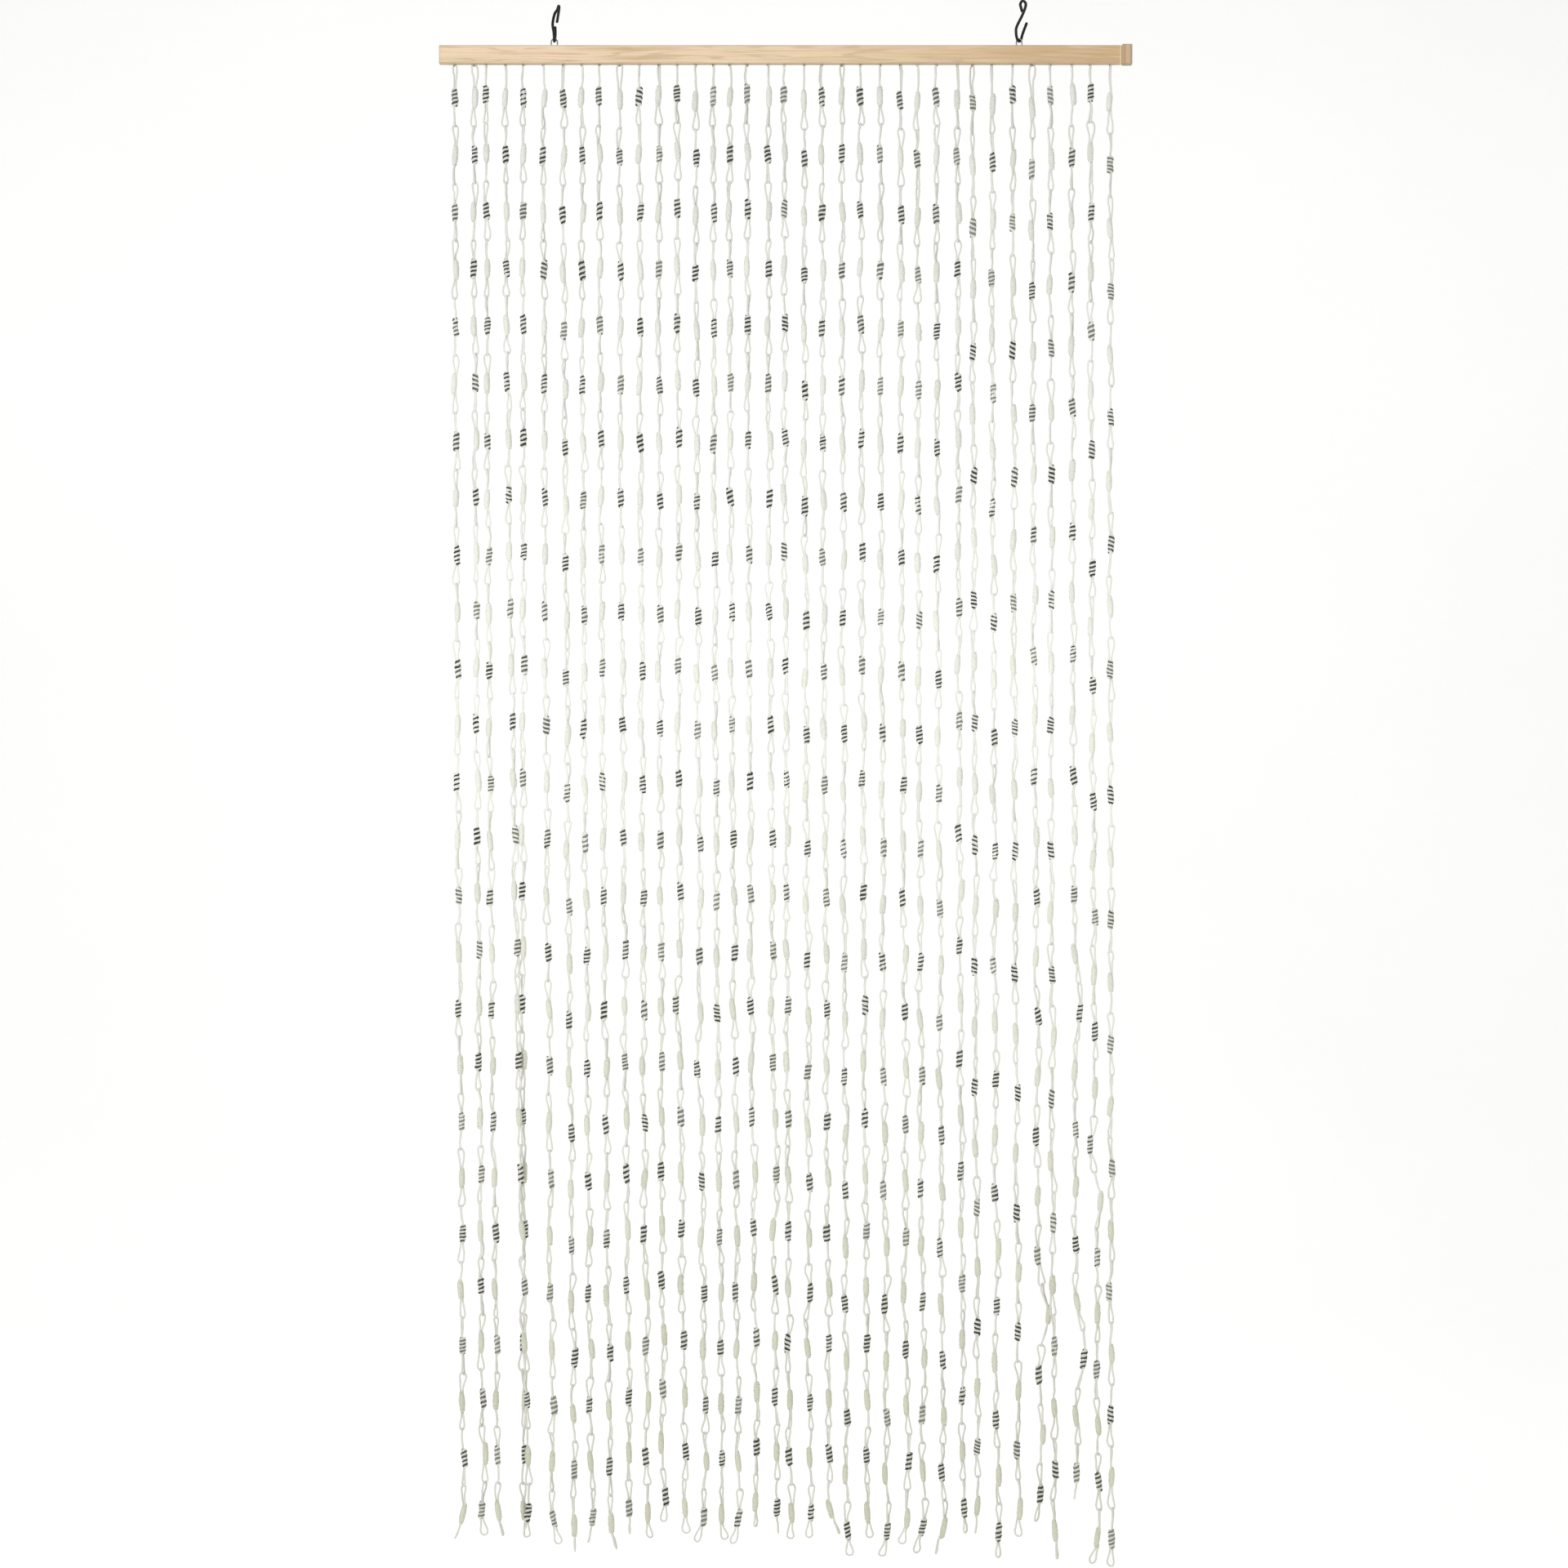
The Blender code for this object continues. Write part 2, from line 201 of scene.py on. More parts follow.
# A row for each strand, in millimetres: its place along the bar, the first knot's middle below
# the bar, from knot to knot, how many knots, the drift at the foot, the lean of the tail and how
# much lower its middle knots hang than an even spacing would have them, and in degrees the turn
# of its first loop and of its last, 0 where the loop faces the front and 90 where it is edge on
STRAND_ROWS = (
    (-430, 43.5, 73.6, 26, 13, -11, 7, 35, 85),
    (-405, 43.5, 73.4, 26, 13, 3, 6, 0, 10),
    (-389, 39.5, 73.6, 26, 16, 7, 13, 90, 80),
    (-364, 43.5, 73.5, 26, 33, -2, 2, 80, 0),
    (-341, 42.5, 73.5, 26, 0, 0, 3, 85, 90),
    (-315, 45, 73.8, 26, 14, 8, 2, 90, 5),
    (-289, 44, 74.2, 26, 16, 2, 12, 70, 90),
    (-265, 43, 73.8, 26, 14, -6, 9, 85, 85),
    (-242, 41.5, 74.2, 26, 15, 7, 1, 90, 80),
    (-216, 46, 73.2, 26, 15, 1, 7, 0, 90),
    (-190, 42, 73.6, 26, 11, 4, 11, 90, 10),
    (-165, 41, 72.8, 26, 7, -3, 21, 75, 0),
    (-141, 38, 73.5, 26, 10, 1, 9, 85, 5),
    (-117, 47.5, 73.6, 26, 13, -9, 8, 90, 10),
    (-94, 41.5, 73.7, 26, 12, 4, 14, 85, 0),
    (-73, 42, 73.9, 26, 13, -8, 4, 90, 5),
    (-50, 38, 73.2, 26, 13, 0, 16, 85, 60),
    (-23, 42.5, 73.3, 26, 13, 1, 10, 90, 90),
    (-2, 39.5, 73.7, 26, 8, -1, 5, 90, 0),
    (24, 46.5, 73.4, 26, 9, -2, 18, 85, 10),
    (47, 42.5, 73.4, 26, 11, 11, 13, 65, 85),
    (73, 40, 74.6, 26, 7, 5, 9, 45, 5),
    (97, 41.5, 73.6, 26, 11, 2, 4, 90, 0),
    (123, 41, 74.6, 26, 9, -8, 7, 90, 15),
    (149, 47, 73.7, 26, 11, -8, 5, 80, 5),
    (171, 48, 74.1, 26, 9, -10, 8, 85, 10),
    (196, 42.5, 74.4, 26, 9, -9, 13, 90, 90),
    (223, 46, 73.2, 26, 9, 1, 2, 85, 60),
    (243, 50, 79.3, 24, 8, -3, 13, 50, 90),
    (268, 52.5, 74.2, 26, 8, -1, 6, 85, 40),
    (295, 39.5, 79.9, 24, 9, -1, 24, 90, 0),
    (320, 57, 78.3, 24, 13, -5, 7, 5, 60),
    (344, 40.5, 81.1, 24, 5, 2, 8, 90, 70),
    (372, 39, 77.9, 24, 6, -3, 28, 90, 90),
    (396, 37, 75.1, 26, 11, -9, 20, 90, 5),
    (422, 48.5, 81.2, 24, 1, -1, 8, 85, 10),
)
STRAND_COLUMNS = ("across", "first", "pitch", "knots", "drift", "lean", "slack", "top", "tail")
MIRRORED = (29, 31, 33, 36)  # the strands whose knots are wound the other way

# Where a strand leaves its line, in millimetres: the strand, how far below the bar, half the
# length that it takes, and how far it swings across and behind
SWAY_ROWS = (
    (4, 1600, 520, 0, -6.5),
    (5, 1600, 520, 0, 6.5),
    (13, 1220, 60, -6, 0),
    (14, 1305, 70, -6, 0),
    (18, 1433, 90, 5, 0),
    (20, 1656, 60, -5, 0),
    (25, 1598, 60, -5, 0),
    (32, 1620, 60, 11, 6),
    (33, 1620, 150, 0, -5),
    (34, 1216, 80, 8, 0),
    (34, 1662, 45, 18, 0),
    (35, 1397, 60, -7, 0),
    (35, 1470, 40, 5, 0),
)
SWAY_COLUMNS = ("strand", "drop", "reach", "across", "behind")

GROUPS = {"left": (1, 12), "middle": (13, 24), "right": (25, 36)}


def rows_of(rows, columns):
    return [dict(zip(columns, row)) for row in rows]


STRANDS = rows_of(STRAND_ROWS, STRAND_COLUMNS)
SWAYS = rows_of(SWAY_ROWS, SWAY_COLUMNS)


class Value:
    """An output in a node tree, or a number worked out from it by Python's operators."""

    def __init__(self, sheet, socket):
        self.sheet = sheet
        self.socket = socket

    def __add__(self, other):
        return self.sheet.maths("ADD", self, other)

    def __sub__(self, other):
        return self.sheet.maths("SUBTRACT", self, other)

    def __rsub__(self, other):
        return self.sheet.maths("SUBTRACT", other, self)

    def __mul__(self, other):
        return self.sheet.maths("MULTIPLY", self, other)

    def __truediv__(self, other):
        return self.sheet.maths("DIVIDE", self, other)

    def __pow__(self, other):
        return self.sheet.maths("POWER", self, other)

    __radd__ = __add__
    __rmul__ = __mul__


class Sheet:
    """A node tree as it is drawn up."""

    def __init__(self, tree):
        self.tree = tree

    def add(self, kind, settings=None, inputs=None, output=0):
        """A new node, its settings and its inputs, as a Value of one of its outputs."""
        node = self.tree.nodes.new(kind)
        for name, setting in (settings or {}).items():
            if name == "stops":
                self.set_stops(node.color_ramp, setting)
            else:
                setattr(node, name, setting)
        for name, given in (inputs or {}).items():
            self.feed(pick(node.inputs, name), given)
        return Value(self, pick(node.outputs, output))

    def feed(self, socket, given):
        if isinstance(given, Value):
            self.tree.links.new(given.socket, socket)
        else:
            socket.default_value = given

    def set_stops(self, ramp, stops):
        while len(ramp.elements) < len(stops):
            ramp.elements.new(1.0)
        for element, (place, colour) in zip(ramp.elements, stops):
            element.position = place
            element.color = (*colour, 1.0)

    def maths(self, operation, *values):
        return self.add("ShaderNodeMath", {"operation": operation}, dict(enumerate(values)))

    def vectors(self, operation, *values):
        return self.add("ShaderNodeVectorMath", {"operation": operation}, dict(enumerate(values)))

    def scaled(self, vector, factor):
        settings = {"operation": "SCALE"}
        return self.add("ShaderNodeVectorMath", settings, {"Vector": vector, "Scale": factor})

    def vector(self, x=0.0, y=0.0, z=0.0):
        return self.add("ShaderNodeCombineXYZ", inputs={"X": x, "Y": y, "Z": z})

    def parts(self, vector):
        split = self.add("ShaderNodeSeparateXYZ", inputs={"Vector": vector})
        outputs = split.socket.node.outputs
        return [Value(self, outputs[axis]) for axis in ("X", "Y", "Z")]

    def noise(self, vector, scale, detail=2.0, output="Fac"):
        inputs = {"Vector": vector, "Scale": scale, "Detail": detail}
        return self.add("ShaderNodeTexNoise", inputs=inputs, output=output)

    def between(self, value, low, high):
        """0 below low, 1 above high, and smooth from one to the other."""
        inputs = {"Value": value, "From Min": low, "From Max": high}
        return self.add("ShaderNodeMapRange", {"interpolation_type": "SMOOTHSTEP"}, inputs)

    def blend(self, factor, first, second, how="MIX"):
        """A colour between two colours, each given as red, green and blue."""
        first, second = (c if isinstance(c, Value) else (*c, 1.0) for c in (first, second))
        inputs = {"Factor_Float": factor, "A_Color": first, "B_Color": second}
        settings = {"data_type": "RGBA", "blend_type": how}
        return self.add("ShaderNodeMix", settings, inputs, "Result_Color")

    def attribute(self, name):
        return self.add("ShaderNodeAttribute", {"attribute_name": name}, output="Fac")


def pick(sockets, key):
    """A socket by its number, its identifier, or the name of one in use."""
    if isinstance(key, int):
        return sockets[key]
    found = [s for s in sockets if s.identifier == key] or [s for s in sockets if s.name == key]
    return next((s for s in found if s.enabled), found[0])


class Finish(Sheet):
    """A material, with the constants of its surface shader set."""

    def __init__(self, title, **constants):
        self.material = bpy.data.materials.new(title)
        self.material.use_nodes = True
        super().__init__(self.material.node_tree)
        self.shader = self.tree.nodes["Principled BSDF"]
        sockets = {socket.name.lower(): socket for socket in self.shader.inputs}
        for name, constant in constants.items():
            sockets[name.replace("_", " ")].default_value = constant
        self.place = self.add("ShaderNodeTexCoord", output="Object")

    def set(self, socket, value):
        self.feed(self.shader.inputs[socket], value)

    def stain(self, colour, noise, low, high, strength, tone):
        """The colour, with a tone laid over it where the noise goes from low to high."""
        return self.blend(self.between(noise, low, high) * strength, colour, tone)

    def raise_by(self, height, distance, strength):
        inputs = {"Height": height, "Distance": distance, "Strength": strength}
        self.set("Normal", self.add("ShaderNodeBump", inputs=inputs))


def shade_of(red, green, blue):
    """A colour as seen, from 0 to 255, as linear light."""
    def linear(level):
        level /= 255
        return level / 12.92 if level <= 0.04045 else ((level + 0.055) / 1.055) ** 2.4

    return tuple(linear(level) for level in (red, green, blue))


# Cord finishes, with the tones at the bar, half-way down and at the foot: lighter half-way down with
# painted light, and the windings yellower at the foot in their own tone
CORD_TONES_WITH_PAINTED_LIGHT = (shade_of(221, 222, 215), shade_of(248, 249, 242), shade_of(223, 223, 214))
WRAP_TONES_WITH_PAINTED_LIGHT = (shade_of(224, 225, 217), shade_of(243, 244, 235), shade_of(212, 213, 193))
# The root windings' tone is painted shade: the same off-white cord, darkened as in the shade under the bar
ROOT_PAINTED_SHADE = (shade_of(176, 166, 148),) * 3
NEAR_BLACK = shade_of(40, 39, 36)
FADED_BLACK = shade_of(132, 131, 122)
DARK_FIBRE = shade_of(150, 147, 134)
FOOT_DROP = 1.9
TONE_DROPS = (0.0, 0.42, 0.92)  # as shares of the drop to the foot
# The tone of the random mottle, also used as painted shade in the grooves between the plies
CORD_MOTTLE_AND_GROOVE_SHADE = (0.62, 0.62, 0.56)
CORD_PLIES = 3
CORD_LAY = 7.0 * MM  # along the cord for one turn of its plies
CORD_RELIEF = 0.35 * MM
MOTTLE_SCALE = 260.0
FADE_SCALE = 140.0
FUZZ_SCALE = 900.0
HAIR_SCALE = 1500.0


def make_cord_finish(name, tones, dyed=False):
    """Twisted cord, lighter half-way down with painted light, with painted shade between its plies; one
    cord of a dyed winding is near black.
    """
    finish = Finish(name, roughness=0.9, sheen_weight=0.2, sheen_roughness=0.5)
    height = finish.parts(finish.place)[2]
    drop = (BAR_UNDERSIDE - height) / FOOT_DROP
    stops = {"stops": tuple(zip(TONE_DROPS, tones))}
    # painted light: the ramp makes the cord lighter half-way down than at the bar and at the foot
    colour = finish.add("ShaderNodeValToRGB", stops, {"Fac": drop}, "Color")
    mottle = finish.noise(finish.place, MOTTLE_SCALE, 3.0)
    tone = finish.between(finish.attribute("shade") * 0.35 + mottle, 0.1, 0.9)
    colour = finish.blend(tone * 0.22, colour, CORD_MOTTLE_AND_GROOVE_SHADE, "MULTIPLY")
    turn = finish.maths("ARCTAN2", finish.attribute("round_y"), finish.attribute("round_x"))
    along = finish.attribute("along") * (2 * math.pi / CORD_LAY)
    plies = finish.maths("SINE", turn * CORD_PLIES + along) * 0.5 + 0.5
    # painted shade: the cord darkened in the grooves between its plies
    colour = finish.blend((1 - plies) * 0.14, colour, CORD_MOTTLE_AND_GROOVE_SHADE, "MULTIPLY")
    if dyed:
        fuzz = finish.noise(finish.place, FUZZ_SCALE, 3.0)
        patches = finish.noise(finish.place, FADE_SCALE, 1.0)
        faded = finish.between(patches * 1.2 + finish.attribute("fade") - 0.6, 0.15, 1.0)
        dye = finish.blend(faded, NEAR_BLACK, FADED_BLACK)
        dye = finish.stain(dye, fuzz, 0.55, 0.72, 0.6, DARK_FIBRE)
        colour = finish.blend(finish.attribute("dark"), colour, dye)
    finish.set("Base Color", colour)
    hairs = finish.noise(finish.place, HAIR_SCALE)
    finish.set("Roughness", 0.80 + hairs * 0.18)
    finish.raise_by(plies * 0.75 + hairs * 0.25, CORD_RELIEF, 0.8)
    return finish.material


# Wood finishes
PINE_PALE = shade_of(228, 204, 173)
PINE_HONEY = shade_of(201, 168, 129)
PINE_PEACH = shade_of(232, 200, 172)
PINE_STRAW = shade_of(212, 197, 152)
PINE_STREAK = shade_of(192, 162, 125)
PINE_LINE = shade_of(184, 154, 116)
# painted shade along the bar's rounded edges
PINE_EDGE_SHADE = shade_of(170, 156, 138)
PORE = shade_of(150, 118, 84)
HONEY_FROM, HONEY_FULL = -0.05, 0.42  # where along the bar the pine turns from pale to honey
GRAIN_LINES = 9.0
BLOCK_GRAIN = (900.0, 60.0, 45.0)  # how many patches in a metre along X, Y and Z
BLOCK_RINGS = (160.0, 25.0, 22.0)
WOOD_RELIEF = 0.12 * MM
END_PALE = shade_of(198, 174, 142)
END_ORANGE = shade_of(180, 142, 104)
END_GREY_AND_EDGE_SHADE = shade_of(146, 138, 124)
EDGE_WIDTH = 2.4 * MM
END_EDGE_WIDTH = 2.2 * MM
GREY_END_WIDTH = 4.6 * MM  # of the grey band down the block's outer edge
PALE_WIDTH = 2.2 * MM  # of the pale band where the bar meets the block
ORANGE_RISE = (0.2 * MM, 2.2 * MM)  # of the block's orange line, from the joint
ORANGE_FALL = (3.6 * MM, 5.6 * MM)


def edge_mask(finish, low, high, width):
    """1 along the edges of a box's front and back, and 0 away from them."""
    x, _, z = finish.parts(finish.place)
    masks = []
    for value, least, most in ((x, low.x, high.x), (z, low.z, high.z)):
        near = finish.maths("MINIMUM", value - least, most - value)
        masks.append(1 - finish.between(near, 0.0, width))
    return finish.maths("MAXIMUM", *masks)


def make_bar_finish():
    """Planed pine, its grain along the bar, pale on the left and honey on the right, with painted shade
    along its edges.
    """
    finish = Finish("pale pine", roughness=0.55)
    x, y, z = finish.parts(finish.place)

    def grain(length, thickness, detail=2.0, across=0.0):
        """Noise drawn out along the bar, its patches of about this length and thickness."""
        where = finish.vector(x / length, y / thickness, z / thickness + across)
        return finish.noise(where, 1.0, detail)

    colour = finish.blend(finish.between(x, HONEY_FROM, HONEY_FULL), PINE_PALE, PINE_HONEY)
    colour = finish.stain(colour, grain(0.09, 8 * MM, across=3.0), 0.52, 0.70, 0.75, PINE_PEACH)
    colour = finish.stain(colour, grain(0.11, 7 * MM, across=11.0), 0.52, 0.70, 0.75, PINE_STRAW)
    colour = finish.stain(colour, grain(0.16, 5 * MM, 3.0), 0.48, 0.68, 0.60, PINE_STREAK)
    wander = grain(0.30, 16 * MM, across=7.0)
    lines = finish.maths("SINE", wander * (2 * math.pi * GRAIN_LINES)) * 0.5 + 0.5
    colour = finish.stain(colour, lines, 0.72, 1.0, 0.42, PINE_LINE)
    fine = grain(0.12, 0.9 * MM, 3.0)
    colour = finish.stain(colour, fine, 0.46, 0.66, 0.30, PINE_STREAK)
    flecks = grain(0.018, 0.45 * MM, 1.0)
    colour = finish.stain(colour, flecks, 0.66, 0.76, 0.30, PORE)
    past_joint = BAR_HIGH + Vector((EDGE_WIDTH, 0, 0))
    edges = edge_mask(finish, BAR_LOW, past_joint, EDGE_WIDTH)
    # painted shade: darker, greyer bands along the bar's rounded top and bottom edges and its left end
    colour = finish.blend(edges * 0.55, colour, PINE_EDGE_SHADE)
    pale = finish.between(x, BAR_HIGH.x - PALE_WIDTH * 1.4, BAR_HIGH.x - PALE_WIDTH)
    colour = finish.blend(pale * 0.6, colour, PINE_PALE)
    finish.set("Base Color", colour)
    finish.set("Roughness", 0.48 + fine * 0.22)
    finish.raise_by(fine * 0.6 + flecks * 0.4, WOOD_RELIEF, 0.6)
    return finish.material


def make_block_finish():
    """The end block: its short grain, an orange line near the joint, painted shade along its edges, and a
    greyer band down its outer end.
    """
    finish = Finish("end block pine", roughness=0.6)
    x = finish.parts(finish.place)[0]
    grain = finish.noise(finish.vectors("MULTIPLY", finish.place, BLOCK_GRAIN), 1.0, 3.0)
    rings = finish.noise(finish.vectors("MULTIPLY", finish.place, BLOCK_RINGS), 1.0, 1.0)
    colour = finish.stain(END_PALE, grain, 0.35, 0.7, 0.5, PINE_HONEY)
    from_joint = x - BLOCK_LOW.x
    band = finish.between(from_joint, *ORANGE_RISE) - finish.between(from_joint, *ORANGE_FALL)
    colour = finish.blend(band * 0.8 + rings * 0.2, colour, END_ORANGE)
    before_joint = BLOCK_LOW - Vector((END_EDGE_WIDTH, 0, 0))
    edges = edge_mask(finish, before_joint, BLOCK_HIGH, END_EDGE_WIDTH)
    end = finish.between(x, BLOCK_HIGH.x - GREY_END_WIDTH, BLOCK_HIGH.x - GREY_END_WIDTH / 3)
    # painted shade along the block's rounded edges, and a greyer band down its outer end
    colour = finish.blend(finish.maths("MAXIMUM", edges * 0.7, end * 0.65), colour, END_GREY_AND_EDGE_SHADE)
    finish.set("Base Color", colour)
    finish.set("Roughness", 0.55 + grain * 0.2)
    finish.raise_by(grain, WOOD_RELIEF, 0.6)
    return finish.material


# Wire and tape finishes
ZINC_DARK = shade_of(112, 111, 108)
ZINC_PALE = shade_of(164, 162, 158)
ZINC_SCALE = 500.0
ZINC_RELIEF = 0.05 * MM
LACQUER_BLACK = shade_of(13, 12, 12)
LACQUER_WORN = shade_of(34, 33, 32)
LACQUER_SCALE = 220.0
RIPPLE_SCALE = 900.0
LACQUER_RELIEF = 0.06 * MM
TAPE_HOLLOW_SHADE = shade_of(176, 166, 148)
TAPE_PALE = shade_of(214, 208, 192)
TAPE_RIB = 1.6 * MM
TAPE_CROSS = 1.1 * MM
TAPE_RELIEF = 0.25 * MM


def make_zinc_finish():
    finish = Finish("zinc plated wire", metallic=1.0)
    smears = finish.noise(finish.place, ZINC_SCALE, 3.0)
    finish.set("Base Color", finish.blend(smears, ZINC_DARK, ZINC_PALE))
    finish.set("Roughness", 0.25 + smears * 0.25)
    finish.raise_by(smears, ZINC_RELIEF, 0.4)
    return finish.material


def make_lacquer_finish():
    """Black lacquer on wire, a little thinner in patches."""
    finish = Finish("black lacquered wire", specular_ior_level=0.3)
    patches = finish.noise(finish.place, LACQUER_SCALE, 3.0)
    worn = finish.between(patches, 0.62, 0.75)
    finish.set("Base Color", finish.blend(worn, LACQUER_BLACK, LACQUER_WORN))
    finish.set("Roughness", 0.32 + patches * 0.25)
    finish.raise_by(finish.noise(finish.place, RIPPLE_SCALE), LACQUER_RELIEF, 0.5)
    return finish.material


def make_tape_finish():
    """The woven heading strip in the bar's groove, with painted shade in the weave's hollows."""
    finish = Finish("heading tape", roughness=0.9)
    x, y, _ = finish.parts(finish.place)
    rib = finish.maths("SINE", x * (2 * math.pi / TAPE_RIB))
    cross = finish.maths("SINE", y * (2 * math.pi / TAPE_CROSS))
    weave = rib * cross * 0.5 + 0.5
    # painted shade: darker where the weave's bump is low
    finish.set("Base Color", finish.blend(weave, TAPE_HOLLOW_SHADE, TAPE_PALE))
    finish.set("Roughness", 0.8 + weave * 0.15)
    finish.raise_by(weave, TAPE_RELIEF, 0.8)
    return finish.material


def sway_at(number, drop):
    """How far this strand swings off its line at this drop, across and behind."""
    across = behind = 0.0
    for sway in SWAYS:
        off = abs(drop - sway["drop"] * MM) / (sway["reach"] * MM)
        if sway["strand"] == number and off < 1:
            share = (1 + math.cos(math.pi * off)) / 2
            across += share * sway["across"] * MM
            behind += share * sway["behind"] * MM
    return across, behind


def hang_strand(number):
    """The middles of a strand's knots and of the joins below them, and the tip of its tail."""
    strand = STRANDS[number - 1]
    chance = random.Random(SEED + number)
    places = []
    for half in range(2 * strand["knots"]):
        slack = strand["slack"] * math.sin(math.pi * half / (2 * strand["knots"] - 2))
        drop = (strand["first"] + half * strand["pitch"] / 2 + slack) * MM
        depth = drop / LONGEST_DROP
        jitter = JITTER_TOP + (JITTER_FOOT - JITTER_TOP) * depth
        across, behind = sway_at(number, drop)
        across += strand["across"] * MM + strand["drift"] * MM * depth**DRIFT_BEND
        across += chance.uniform(-jitter, jitter)
        behind += chance.uniform(-jitter, jitter)
        places.append(Vector((across, behind, BAR_UNDERSIDE - drop)))
    knots, joins = places[0::2], places[1::2]
    tail = knots[-1] + Vector((strand["lean"], 0, -TAIL_LENGTH * strand["pitch"])) * MM
    return knots, [*joins[:-1], tail]


def turned(axis, roll):
    """The turn that points Z along the axis, with X to the right before the roll about it."""
    upward = axis.normalized()
    right = (Vector((1, 0, 0)) - upward * upward.x).normalized()
    front = upward.cross(right)
    side = right * math.cos(roll) + front * math.sin(roll)
    rows = Matrix((side, upward.cross(side), upward)).transposed()
    return Vector(rows.to_euler("XYZ"))


PLACE_VECTORS = ("turn", "size", "bow")
PLACE_NUMBERS = ("turns", "shade", "fade")


class Places:
    """Points to build on, each with its own turn, size and bow, its windings and its tone."""

    def __init__(self):
        self.rows = []

    def put(self, point, turn, size=(1, 1, 1), bow=(0, 0, 0), turns=1.0, shade=0.0, fade=0.0):
        row = {"point": point, "turn": turn, "size": size, "bow": bow}
        self.rows.append({**row, "turns": turns, "shade": shade, "fade": fade})

    def as_mesh(self, name):
        mesh = bpy.data.meshes.new(name)
        mesh.from_pydata([row["point"] for row in self.rows], [], [])
        for title in PLACE_VECTORS:
            layer = mesh.attributes.new(title, "FLOAT_VECTOR", "POINT")
            layer.data.foreach_set("vector", [number for row in self.rows for number in row[title]])
        for title in PLACE_NUMBERS:
            layer = mesh.attributes.new(title, "FLOAT", "POINT")
            layer.data.foreach_set("value", [row[title] for row in self.rows])
        return mesh


LINK_PLACES = ("loops", "striped", "plain", "roots")


def lay_out(group):
    """Where a group's loops, knots and roots go."""
    places = {kind: Places() for kind in LINK_PLACES}
    first, last = GROUPS[group]
    for number in range(first, last + 1):
        lay_out_strand(number, places)
    return places


def lay_out_strand(number, places):
    strand = STRANDS[number - 1]
    chance = random.Random(LOOKS_SEED + number)
    knots, joins = hang_strand(number)
    above = Vector((strand["across"] * MM, 0, BAR_UNDERSIDE - CORD_RADIUS))
    root = above - Vector((0, 0, ROOT_DROP - CORD_RADIUS))
    places["roots"].put(root, (0, 0, chance.uniform(0, 2 * math.pi)), turns=ROOT_TURNS)
    roll, width = math.radians(strand["top"]), FIRST_LOOP_WIDTH
    for level, (knot, join) in enumerate(zip(knots, joins), start=1):
        axis = (above - join).normalized()
        tilt = Vector((chance.uniform(-KNOT_TILT, KNOT_TILT), chance.uniform(-KNOT_TILT, KNOT_TILT), 0))
        axis = (axis + tilt).normalized()
        shade = chance.uniform(-1, 1)
        knot_end = axis * (WRAP_LENGTH / 2 - TUCK)
        put_loop(places["loops"], above + axis * CORD_RADIUS, knot + knot_end, roll, width, shade, chance)
        if level == len(knots):
            roll, width = math.radians(strand["tail"]), TAIL_LOOP_WIDTH
            bend = join + axis * CORD_RADIUS
        else:
            roll = math.radians(chance.choice(LOOP_TURNS) + chance.gauss(0, LOOP_TURN_SPREAD))
            width = chance.uniform(*LOOP_WIDTHS)
            bend = join - axis * CORD_RADIUS
        put_loop(places["loops"], bend, knot - knot_end, roll, width, shade, chance)
        put_knot(places, knot, axis, (number + level) % 2 == 0, number in MIRRORED, shade, chance)
        above = join
        roll += math.radians(NEXT_LOOP_TURN + chance.gauss(0, NEXT_LOOP_SPREAD))
        width = chance.uniform(*LOOP_WIDTHS)


def put_loop(loops, bend, knot_end, roll, width, shade, chance):
    """A loop from its bend to where it goes into the knot."""
    reach = knot_end - bend
    bow = (chance.uniform(-LOOP_BOW, LOOP_BOW), chance.uniform(-LOOP_BOW, LOOP_BOW), 0)
    loops.put(bend, turned(reach, roll), (width, 1, reach.length), bow, shade=shade)


def put_knot(places, knot, axis, striped, mirrored, shade, chance):
    """A knot wound round the strand; a plain one often lies to one side of it."""
    girth, length = chance.uniform(*KNOT_GIRTHS), chance.uniform(*KNOT_LENGTHS)
    if not striped:
        length *= PLAIN_STRETCH
    roll = chance.uniform(0, 2 * math.pi)
    turns = chance.uniform(*KNOT_TURNS)
    if mirrored != (chance.random() < OTHER_HAND):
        turns = -turns
    aside = STRIPED_ASIDE if striped else PLAIN_ASIDE
    shift = Vector((chance.uniform(-aside, aside), chance.uniform(-aside, aside) * ASIDE_DEPTH, 0))
    places["striped" if striped else "plain"].put(
        knot + shift, turned(axis, roll), (girth, girth, length),
        turns=turns, shade=shade, fade=chance.random() ** 2,
    )


# What the recipes are given: their whole numbers are counts, and the others are sizes and shares
LOOP_SIZES = {
    "Steps": LOOP_STEPS,
    "Half width": LOOP_HALF_WIDTH,
    "Shoulder": LOOP_SHOULDER,
    "Ease": LOOP_EASE,
    "Cord radius": CORD_RADIUS,
    "Sides": CORD_SIDES,
    "Unevenness": LOOP_WAVE,
    "Waves": LOOP_WAVES,
}
WOUND = {
    "Tuck": WRAP_TUCK,
    "Sides": CORD_SIDES,
    "Waves": WRAP_WAVES,
    "Core sides": CORE_SIDES,
}
STRIPED_SIZES = {
    **WOUND,
    "Starts": STRIPED_STARTS,
    "Steps": STRIPED_STEPS,
    "Radius": WRAP_RADIUS,
    "Height": WRAP_LENGTH,
    "Belly": STRIPED_BELLY,
    "Dark share": DARK_SHARE,
    "Unevenness": STRIPED_WAVE,
    "Core radius": STRIPED_CORE,
    "Core steps": CORE_STEPS,
}
